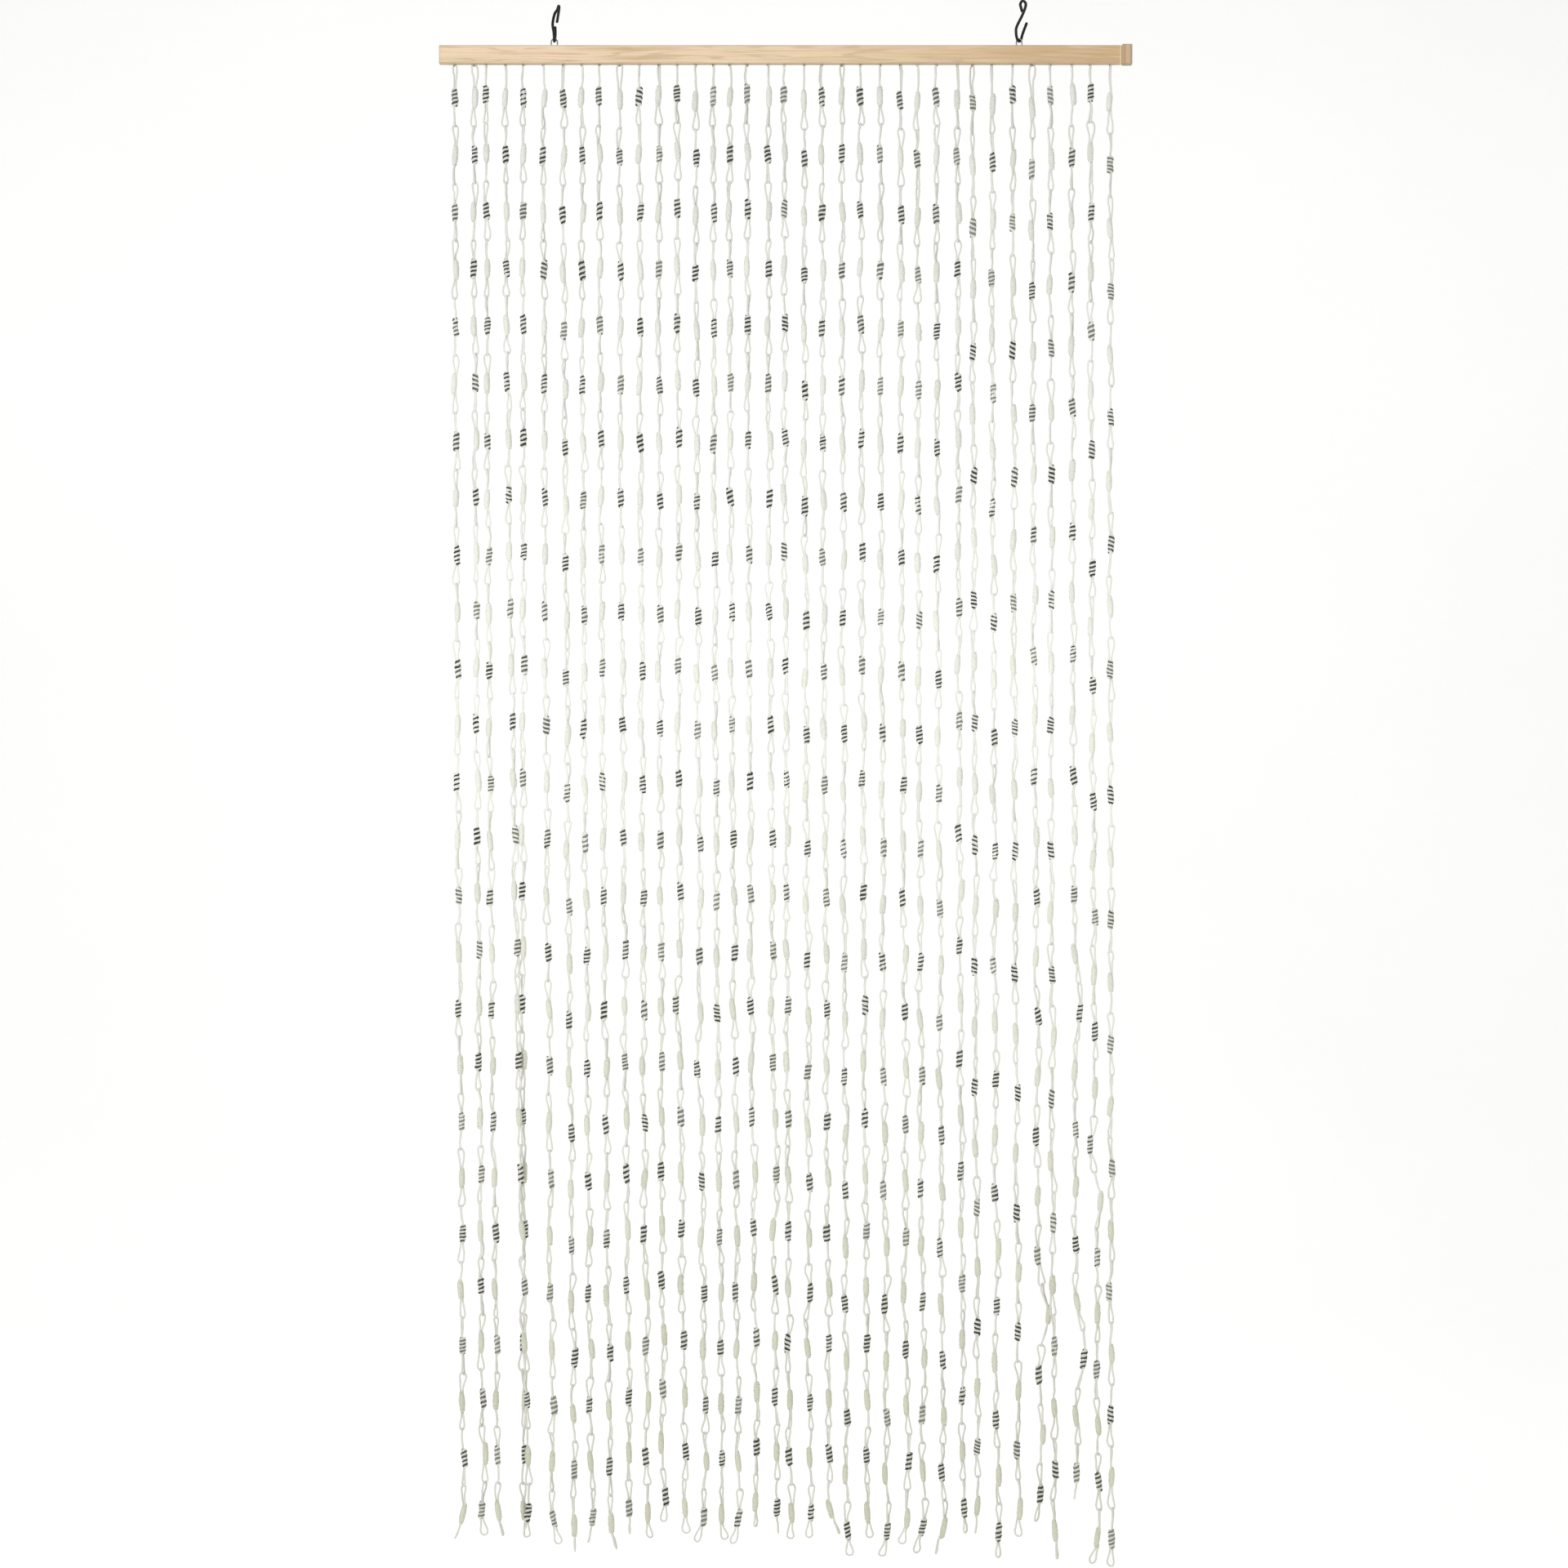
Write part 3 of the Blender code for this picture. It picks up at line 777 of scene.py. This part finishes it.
PLAIN_SIZES = {
    **WOUND,
    "Starts": PLAIN_STARTS,
    "Steps": PLAIN_STEPS,
    "Radius": PLAIN_RADIUS,
    "Height": WRAP_LENGTH,
    "Belly": PLAIN_BELLY,
    "Dark share": 1.0,
    "Unevenness": PLAIN_WAVE,
    "Core radius": PLAIN_CORE,
    "Core steps": CORE_STEPS,
}
ROOT_SIZES = {
    **WOUND,
    "Starts": 1,
    "Steps": ROOT_STEPS,
    "Radius": ROOT_RADIUS,
    "Height": ROOT_HEIGHT,
    "Belly": 0.0,
    "Dark share": 1.0,
    "Unevenness": ROOT_WAVE,
    "Core radius": ROOT_CORE,
    "Core steps": 1,
}


class Recipe(Sheet):
    """A geometry node tree with an input named for each of these sizes."""

    def __init__(self, title, sizes):
        super().__init__(bpy.data.node_groups.new(title, "GeometryNodeTree"))
        kinds = {"Geometry": "NodeSocketGeometry", "Material": "NodeSocketMaterial"}
        for name, size in sizes.items():
            kinds[name] = "NodeSocketInt" if isinstance(size, int) else "NodeSocketFloat"
        for name, kind in kinds.items():
            self.tree.interface.new_socket(name, in_out="INPUT", socket_type=kind)
        self.tree.interface.new_socket("Geometry", in_out="OUTPUT", socket_type="NodeSocketGeometry")
        self.group = self.tree.nodes.new("NodeGroupInput")

    def __getitem__(self, title):
        return Value(self, self.group.outputs[title])

    def named(self, name, kind="FLOAT"):
        settings = {"data_type": kind}
        return self.add("GeometryNodeInputNamedAttribute", settings, {"Name": name}, "Attribute")

    def store(self, geometry, name, value):
        settings = {"data_type": "FLOAT", "domain": "POINT"}
        inputs = {"Geometry": geometry, "Name": name, "Value": value}
        return self.add("GeometryNodeStoreNamedAttribute", settings, inputs)

    def position(self):
        return self.add("GeometryNodeInputPosition")

    def moved(self, geometry, **where):
        inputs = {"Geometry": geometry, **{title.title(): value for title, value in where.items()}}
        return self.add("GeometryNodeSetPosition", inputs=inputs)

    def spread(self, line, steps):
        """The line with this many steps, along which reach goes from 0 to 1."""
        line = self.add("GeometryNodeResampleCurve", inputs={"Curve": line, "Count": steps + 1})
        return self.store(line, "reach", self.add("GeometryNodeSplineParameter", output="Factor"))

    def at_places(self, line, local):
        """Copies of the line, their points at a local place that is sized and turned as each place says."""
        inputs = {"Points": self["Geometry"], "Instance": line}
        copies = self.add("GeometryNodeInstanceOnPoints", inputs=inputs)
        copies = self.add("GeometryNodeRealizeInstances", inputs={"Geometry": copies})
        sized = self.vectors("MULTIPLY", local, self.named("size", "FLOAT_VECTOR"))
        inputs = {"Vector": sized, "Rotation": self.named("turn", "FLOAT_VECTOR")}
        spun = self.add("ShaderNodeVectorRotate", {"rotation_type": "EULER_XYZ"}, inputs)
        start = self.vector(z=self.named("reach"))
        return self.moved(copies, offset=self.vectors("SUBTRACT", spun, start))

    def uneven(self, curve, amount, waves, detail=1.0):
        """The curve's points pushed a little to all sides, with so many waves in a metre."""
        push = self.noise(self.position(), waves, detail, "Color")
        push = self.vectors("SUBTRACT", push, (0.5, 0.5, 0.5))
        return self.moved(curve, offset=self.scaled(push, amount * 2))

    def corded(self, curve, radius, sides):
        """A round cord along the curve, which keeps how far along and how far round each point is."""
        length = self.add("GeometryNodeSplineParameter", output="Length")
        curve = self.store(curve, "along", length)
        rim = self.add("GeometryNodeCurvePrimitiveCircle", inputs={"Resolution": sides, "Radius": 1.0})
        x, y, _ = self.parts(self.position())
        rim = self.store(self.store(rim, "round_x", x), "round_y", y)
        inputs = {"Curve": curve, "Profile Curve": rim, "Scale": radius, "Fill Caps": True}
        return self.add("GeometryNodeCurveToMesh", inputs=inputs)

    def finish(self, *forms):
        """The tree's end: the forms joined, made real, smooth, and given the material."""
        joined = self.tree.nodes.new("GeometryNodeJoinGeometry")
        for form in forms:
            self.tree.links.new(form.socket, joined.inputs[0])
        whole = Value(self, joined.outputs[0])
        whole = self.add("GeometryNodeRealizeInstances", inputs={"Geometry": whole})
        smooth = self.add("GeometryNodeSetShadeSmooth", inputs={"Geometry": whole})
        inputs = {"Geometry": smooth, "Material": self["Material"]}
        dressed = self.add("GeometryNodeSetMaterial", inputs=inputs)
        out = self.tree.nodes.new("NodeGroupOutput")
        self.tree.links.new(dressed.socket, out.inputs[0])


def draw_loop_recipe():
    """Loops of cord: a round bend at each place, and the two ends side by side at the knot."""
    recipe = Recipe("looped cord", LOOP_SIZES)
    line = recipe.spread(recipe.add("GeometryNodeCurvePrimitiveLine"), recipe["Steps"])
    part = recipe.named("reach") * 2 - 1
    bulge = recipe.maths("SINE", part * math.pi)
    shoulder = recipe.maths("SINE", part * (2 * math.pi)) * recipe["Shoulder"]
    x = (bulge + shoulder) * recipe["Half width"] + part * part * part * recipe["Cord radius"]
    far = recipe.maths("ABSOLUTE", part)
    z = far * far * (1 + recipe["Ease"] * (1 - far))
    loops = recipe.at_places(line, recipe.vector(x, 0.0, z))
    bow = recipe.scaled(recipe.named("bow", "FLOAT_VECTOR"), z * (1 - z) * 4)
    loops = recipe.uneven(recipe.moved(loops, offset=bow), recipe["Unevenness"], recipe["Waves"], 2.0)
    recipe.finish(recipe.corded(loops, recipe["Cord radius"], recipe["Sides"]))
    return recipe.tree


def draw_winding_recipe():
    """Cords wound side by side in a coil with tucked ends, round a core, at each place."""
    recipe = Recipe("wound cord", STRIPED_SIZES)
    starts, turns = recipe["Starts"], recipe.named("turns")
    reach = recipe.named("reach")
    level = reach * 2 - 1
    drawn_in = recipe.maths("ABSOLUTE", level) ** TUCK_POWER * recipe["Tuck"]
    slim = 1 - level * level * recipe["Belly"] - drawn_in
    line = recipe.spread(recipe.add("GeometryNodeCurvePrimitiveLine"), recipe["Steps"])
    inputs = {"Geometry": line, "Amount": starts}
    copies = recipe.add("GeometryNodeDuplicateElements", {"domain": "SPLINE"}, inputs)
    index = Value(recipe, pick(copies.socket.node.outputs, "Duplicate Index"))
    first = recipe.maths("LESS_THAN", index, 0.5)
    line = recipe.store(recipe.store(copies, "start", index / starts), "dark", first)
    angle = (turns * reach + recipe.named("start")) * (2 * math.pi)
    radius = recipe["Radius"] * slim
    x, y = radius * recipe.maths("COSINE", angle), radius * recipe.maths("SINE", angle)
    coils = recipe.at_places(line, recipe.vector(x, y, (reach - 0.5) * recipe["Height"]))
    coils = recipe.uneven(coils, recipe["Unevenness"], recipe["Waves"])
    lead = recipe["Height"] / recipe.maths("ABSOLUTE", turns)
    share = 1 - recipe.named("dark") * (1 - recipe["Dark share"])
    cords = recipe.corded(coils, lead / starts * 0.5 * share, recipe["Sides"])
    core = recipe.spread(recipe.add("GeometryNodeCurvePrimitiveLine"), recipe["Core steps"])
    core = recipe.at_places(core, recipe.vector(z=(reach - 0.5) * recipe["Height"]))
    core = recipe.corded(core, slim * recipe["Core radius"], recipe["Core sides"])
    recipe.finish(cords, core)
    return recipe.tree


def grow(name, tree, places, material, sizes):
    """The mesh that a recipe makes on these places, as a plain object."""
    grower = bpy.data.objects.new(name, places.as_mesh(name))
    bpy.context.scene.collection.objects.link(grower)
    modifier = grower.modifiers.new(tree.name, "NODES")
    modifier.node_group = tree
    given = {**sizes, "Material": material}
    for item in tree.interface.items_tree:
        if item.in_out == "INPUT" and item.name in given:
            modifier[item.identifier] = given[item.name]
    graph = bpy.context.evaluated_depsgraph_get()
    mesh = bpy.data.meshes.new_from_object(
        grower.evaluated_get(graph), preserve_all_data_layers=True, depsgraph=graph
    )
    bpy.data.objects.remove(grower, do_unlink=True)
    piece = bpy.data.objects.new(name, mesh)
    bpy.context.scene.collection.objects.link(piece)
    return piece


def hand_over(piece, node):
    """The finished piece rides on the curtain, and stands for this node."""
    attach(piece, "root")
    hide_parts(node)


def make_strands(group, trees, finishes):
    """A group's loops, knots of both kinds, and root windings."""
    places = lay_out(group)
    for title, kind, recipe, sizes in (
        ("cord_loops", "loops", "loop", LOOP_SIZES),
        ("striped_knots", "striped", "winding", STRIPED_SIZES),
        ("plain_knots", "plain", "winding", PLAIN_SIZES),
        ("root_windings", "roots", "winding", ROOT_SIZES),
    ):
        piece = grow(f"{title}_{group}", trees[recipe], places[kind], finishes[kind], sizes)
        hand_over(piece, f"strands_{group}")


def strip_ends(group):
    """Where a group's heading strip starts and ends along the bar."""
    first, last = GROUPS[group]
    ends = []
    for inner, outer, side in ((first, first - 1, -1), (last, last + 1, 1)):
        here = STRANDS[inner - 1]["across"] * MM
        if 1 <= outer <= len(STRANDS):
            there = STRANDS[outer - 1]["across"] * MM
            ends.append((here + there) / 2 - side * STRIP_GAP / 2)
        else:
            ends.append(here + side * STRIP_MARGIN)
    return ends


def make_strip(group, tape):
    """The heading strip in the bar's groove, its edges softened."""
    start, end = strip_ends(group)
    form = bmesh.new()
    bmesh.ops.create_cube(form, size=1)
    size = (end - start, STRIP_WIDTH, STRIP_HEIGHT - STRIP_LIFT)
    bmesh.ops.scale(form, vec=size, verts=form.verts)
    middle = ((start + end) / 2, 0, BAR_UNDERSIDE + STRIP_LIFT + size[2] / 2)
    bmesh.ops.translate(form, vec=middle, verts=form.verts)
    bmesh.ops.bevel(form, geom=form.edges[:], offset=STRIP_ROUNDING, segments=2, affect="EDGES")
    mesh = bpy.data.meshes.new(f"heading_strip_{group}")
    form.to_mesh(mesh)
    form.free()
    mesh.materials.append(tape)
    strip = bpy.data.objects.new(mesh.name, mesh)
    bpy.context.scene.collection.objects.link(strip)
    hand_over(strip, f"strands_{group}")


def smooth_route(points, steps):
    """Points on a smooth curve through the given ones, steps of them for each span."""
    ends = [2 * points[0] - points[1], *points, 2 * points[-1] - points[-2]]
    route = []
    for before, start, end, after in zip(ends, ends[1:], ends[2:], ends[3:]):
        for step in range(steps):
            t = step / steps
            bend = (2 * before - 5 * start + 4 * end - after) * t**2
            twist = (3 * (start - end) + after - before) * t**3
            route.append(start + ((end - before) * t + bend + twist) / 2)
    return [*route, points[-1]]


def dome(end, inner, radius):
    """Points past a wire's end, each with the wire's thickness there, 1 where it is full."""
    outward = (end - inner).normalized()
    rows = []
    for step in range(1, DOME_STEPS + 1):
        turn = math.pi / 2 * step / DOME_STEPS
        rows.append((end + outward * radius * math.sin(turn), max(math.cos(turn), DOME_TIP)))
    return rows


def make_wire(name, route, radius, material):
    """A round wire with domed ends, as a closed mesh."""
    curve = bpy.data.curves.new(name, "CURVE")
    curve.dimensions = "3D"
    curve.bevel_depth = radius
    curve.bevel_resolution = WIRE_RESOLUTION
    curve.use_fill_caps = True
    start, end = dome(route[0], route[1], radius), dome(route[-1], route[-2], radius)
    rows = [*reversed(start), *((place, 1.0) for place in route), *end]
    spline = curve.splines.new("POLY")
    spline.points.add(len(rows) - 1)
    for point, (place, share) in zip(spline.points, rows):
        point.co = (*place, 1.0)
        point.radius = share
    guide = bpy.data.objects.new(name, curve)
    bpy.context.scene.collection.objects.link(guide)
    graph = bpy.context.evaluated_depsgraph_get()
    mesh = bpy.data.meshes.new_from_object(guide.evaluated_get(graph))
    bpy.data.objects.remove(guide, do_unlink=True)
    form = bmesh.new()
    form.from_mesh(mesh)
    bmesh.ops.remove_doubles(form, verts=form.verts, dist=WELD)
    bmesh.ops.recalc_face_normals(form, faces=form.faces)
    form.to_mesh(mesh)
    form.free()
    mesh.shade_smooth()
    mesh.materials.clear()
    mesh.materials.append(material)
    wire = bpy.data.objects.new(name, mesh)
    bpy.context.scene.collection.objects.link(wire)
    return wire


def make_eye(side, zinc):
    """A wire eye of one bent wire: an arch over the bar, and two legs down into it."""
    eye = EYES[side]
    middle = Vector((eye["across"] * MM, 0, BAR_TOP))
    along = Matrix.Rotation(math.radians(eye["turn"]), 3, "Z") @ Vector((EYE_RADIUS, 0, 0))
    depth = Vector((0, 0, LEG_DEPTH - EYE_WIRE_RADIUS))
    route = [middle - along - depth, middle - along]
    for step in range(EYE_STEPS + 1):
        turn = math.pi * (1 - step / EYE_STEPS)
        height = Vector((0, 0, EYE_HEIGHT + EYE_RADIUS * math.sin(turn)))
        route.append(middle + along * math.cos(turn) + height)
    route += [middle + along, middle + along - depth]
    hand_over(make_wire(f"wire_eye_{side}", route, EYE_WIRE_RADIUS, zinc), f"eye_{side}")


def make_hook(side, black):
    eye = Vector((EYES[side]["across"] * MM, 0, BAR_TOP))
    rows = [eye + Vector(row) * MM for row in HOOK_ROUTES[side]]
    route = smooth_route(rows, HOOK_STEPS)
    hook = make_wire(f"wire_hook_{side}", route, HOOK_WIRE_RADIUS, black)
    hand_over(hook, f"hook_{side}")


def dress(node, material):
    """A carried-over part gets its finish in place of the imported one."""
    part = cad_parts[node]
    for slot in part.material_slots:
        slot.material = material


# The floor, and the backdrop that it sweeps up into
FLOOR = -2.12
ROOM_HALF_WIDTH = 9.0
FLOOR_FRONT = -9.0
WALL_AT = 4.5
WALL_TOP = 5.0
SWEEP_RADIUS = 2.0
SWEEP_STEPS = 24
FLOOR_TONES = ((0.88, 0.88, 0.87), (0.92, 0.92, 0.91))
FLOOR_GLOW = 0.17
CLOUD_SCALE = 1.5


def make_stage():
    """A pale floor that sweeps up into a backdrop, and is clear from behind and from below."""
    profile = [(FLOOR_FRONT, FLOOR)]
    for step in range(SWEEP_STEPS + 1):
        turn = math.pi / 2 * step / SWEEP_STEPS
        y = WALL_AT - SWEEP_RADIUS + SWEEP_RADIUS * math.sin(turn)
        profile.append((y, FLOOR + SWEEP_RADIUS * (1 - math.cos(turn))))
    profile.append((WALL_AT, WALL_TOP))
    points = [(side * ROOM_HALF_WIDTH, y, z) for y, z in profile for side in (-1, 1)]
    faces = [(i, i + 1, i + 3, i + 2) for i in range(0, len(points) - 2, 2)]
    mesh = bpy.data.meshes.new("floor")
    mesh.from_pydata(points, [], faces)
    mesh.shade_smooth()
    white = (1, 1, 1, 1)
    finish = Finish("pale floor", roughness=0.8, emission_color=white, emission_strength=FLOOR_GLOW)
    cloud = finish.noise(finish.place, CLOUD_SCALE)
    finish.set("Base Color", finish.blend(cloud, *FLOOR_TONES))
    finish.set("Alpha", 1 - finish.add("ShaderNodeNewGeometry", output="Backfacing"))
    mesh.materials.append(finish.material)
    floor = bpy.data.objects.new("floor", mesh)
    bpy.context.scene.collection.objects.link(floor)


# The lights: where each stands, its side in metres and its watts
LIGHT_ROWS = (
    ("key light", (-3.2, -4.5, 1.6), 2.5, 148.8),
    ("fill light", (3.6, -4.2, -0.2), 3.0, 37.2),
    ("top light", (0.0, 1.8, 2.6), 2.5, 62.0),
)
LIGHT_COLUMNS = ("name", "place", "side", "watts")
LIGHTS_AIM = Vector((0, 0, -0.95))
SKY_STRENGTH = 0.50


def make_lights():
    for row in rows_of(LIGHT_ROWS, LIGHT_COLUMNS):
        light = bpy.data.lights.new(row["name"], "AREA")
        light.size = row["side"]
        light.energy = row["watts"]
        lamp = bpy.data.objects.new(row["name"], light)
        lamp.location = row["place"]
        lamp.rotation_euler = (LIGHTS_AIM - lamp.location).to_track_quat("-Z", "Y").to_euler()
        bpy.context.scene.collection.objects.link(lamp)
    world = bpy.data.worlds.new("soft daylight")
    world.use_nodes = True
    sky = world.node_tree.nodes["Background"]
    sky.inputs["Color"].default_value = (1, 1, 1, 1)
    sky.inputs["Strength"].default_value = SKY_STRENGTH
    bpy.context.scene.world = world
    bpy.context.scene.view_settings.view_transform = "Standard"


def make_camera():
    """Square on to the curtain, with the bar where the photograph has it."""
    pixel = BAR_LENGTH / BAR_IN_IMAGE
    camera = bpy.data.cameras.new("camera")
    camera.sensor_width = SENSOR
    camera.lens = SENSOR * CAMERA_DISTANCE / (IMAGE_SIDE * pixel)
    stand = bpy.data.objects.new("camera", camera)
    middle = (BAR_LOW.x + BLOCK_HIGH.x) / 2
    stand.location = (
        middle - (BAR_MIDDLE_IN_IMAGE - IMAGE_SIDE / 2) * pixel,
        -CAMERA_DISTANCE,
        BAR_UNDERSIDE - (IMAGE_SIDE / 2 - BAR_UNDERSIDE_IN_IMAGE) * pixel,
    )
    stand.rotation_euler = (math.pi / 2, 0, 0)
    bpy.context.scene.collection.objects.link(stand)
    bpy.context.scene.camera = stand


def main():
    make_camera()
    make_lights()
    make_stage()
    dress("bar", make_bar_finish())
    dress("end_block", make_block_finish())
    zinc, black, tape = make_zinc_finish(), make_lacquer_finish(), make_tape_finish()
    for side in EYES:
        make_eye(side, zinc)
        make_hook(side, black)
    finishes = {
        "loops": make_cord_finish("off-white cord", CORD_TONES_WITH_PAINTED_LIGHT),
        "striped": make_cord_finish("striped windings", CORD_TONES_WITH_PAINTED_LIGHT, dyed=True),
        "plain": make_cord_finish("beige windings", WRAP_TONES_WITH_PAINTED_LIGHT),
        # painted shade under the bar, in place of the cord's own off-white
        "roots": make_cord_finish("root windings", ROOT_PAINTED_SHADE),
    }
    trees = {"loop": draw_loop_recipe(), "winding": draw_winding_recipe()}
    for group in GROUPS:
        make_strip(group, tape)
        make_strands(group, trees, finishes)


main()
